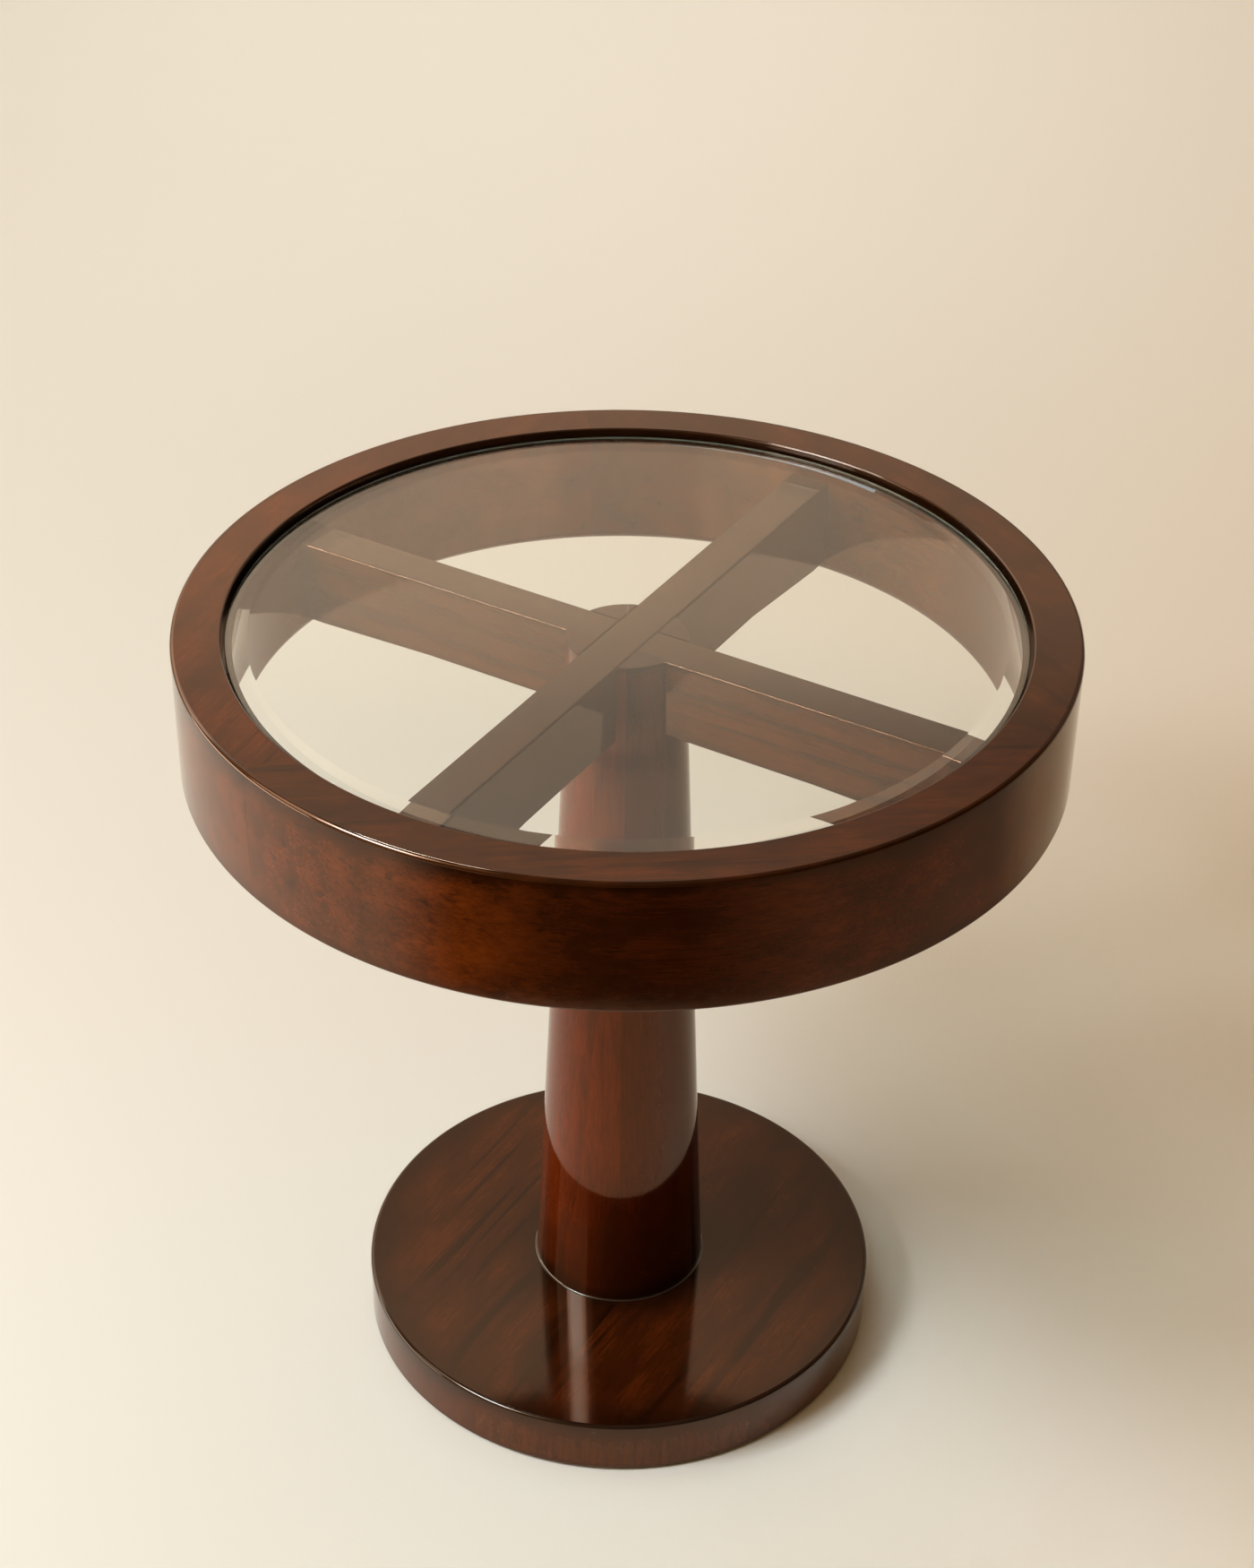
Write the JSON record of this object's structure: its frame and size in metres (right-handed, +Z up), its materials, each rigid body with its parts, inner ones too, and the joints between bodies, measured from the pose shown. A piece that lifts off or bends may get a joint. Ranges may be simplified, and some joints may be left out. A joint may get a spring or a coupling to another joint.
{
  "type": "pedestal side table",
  "caption": "Round wooden pedestal side table: deep rim with an inset bevelled glass, crossed bars lapped over a slotted tapered column, and a thick disc base.",
  "frame": {"origin": "centre of the table on the floor, under the column's axis, level with the undersides of the felt pads", "axes": "+Z up along the column's axis; +Y along the continuous cross bar, away from the picture's near left side; +X along the other cross bar, to the right"},
  "size_m": [0.6, 0.6, 0.608],
  "materials": {
    "lacquered_wood": "dark reddish-brown stain under a glossy lacquer, darker along the edges",
    "column_wood": "slightly redder stain under the same glossy lacquer, grain upright",
    "dowel_wood": "plain unfinished hardwood",
    "glass": "clear, faintly green, polished bevel",
    "screw_steel": "zinc-plated",
    "felt": "dark felt"
  },
  "bodies": {
    "table": {"rim_segment_front": "lacquered_wood", "rim_segment_right": "lacquered_wood", "rim_segment_left": "lacquered_wood", "rim_seam_dowels": "dowel_wood", "cross_bar_upper": "lacquered_wood", "cross_bar_lower": "lacquered_wood", "bar_end_dowels": "dowel_wood", "column_half_left": "column_wood", "column_half_right": "column_wood", "base_board_1": "lacquered_wood", "base_board_2": "lacquered_wood", "base_board_3": "lacquered_wood", "base_board_4": "lacquered_wood", "base_board_5": "lacquered_wood", "foot_screws": "screw_steel", "floor_pads": "felt"},
    "glass": {"glass_top": "glass"}
  },
  "joints": [
    {"name": "glass_lift", "type": "slide", "parent": "table", "child": "glass", "axis": [0, 0, 1], "range_m": [0, 0.15]}
  ]
}
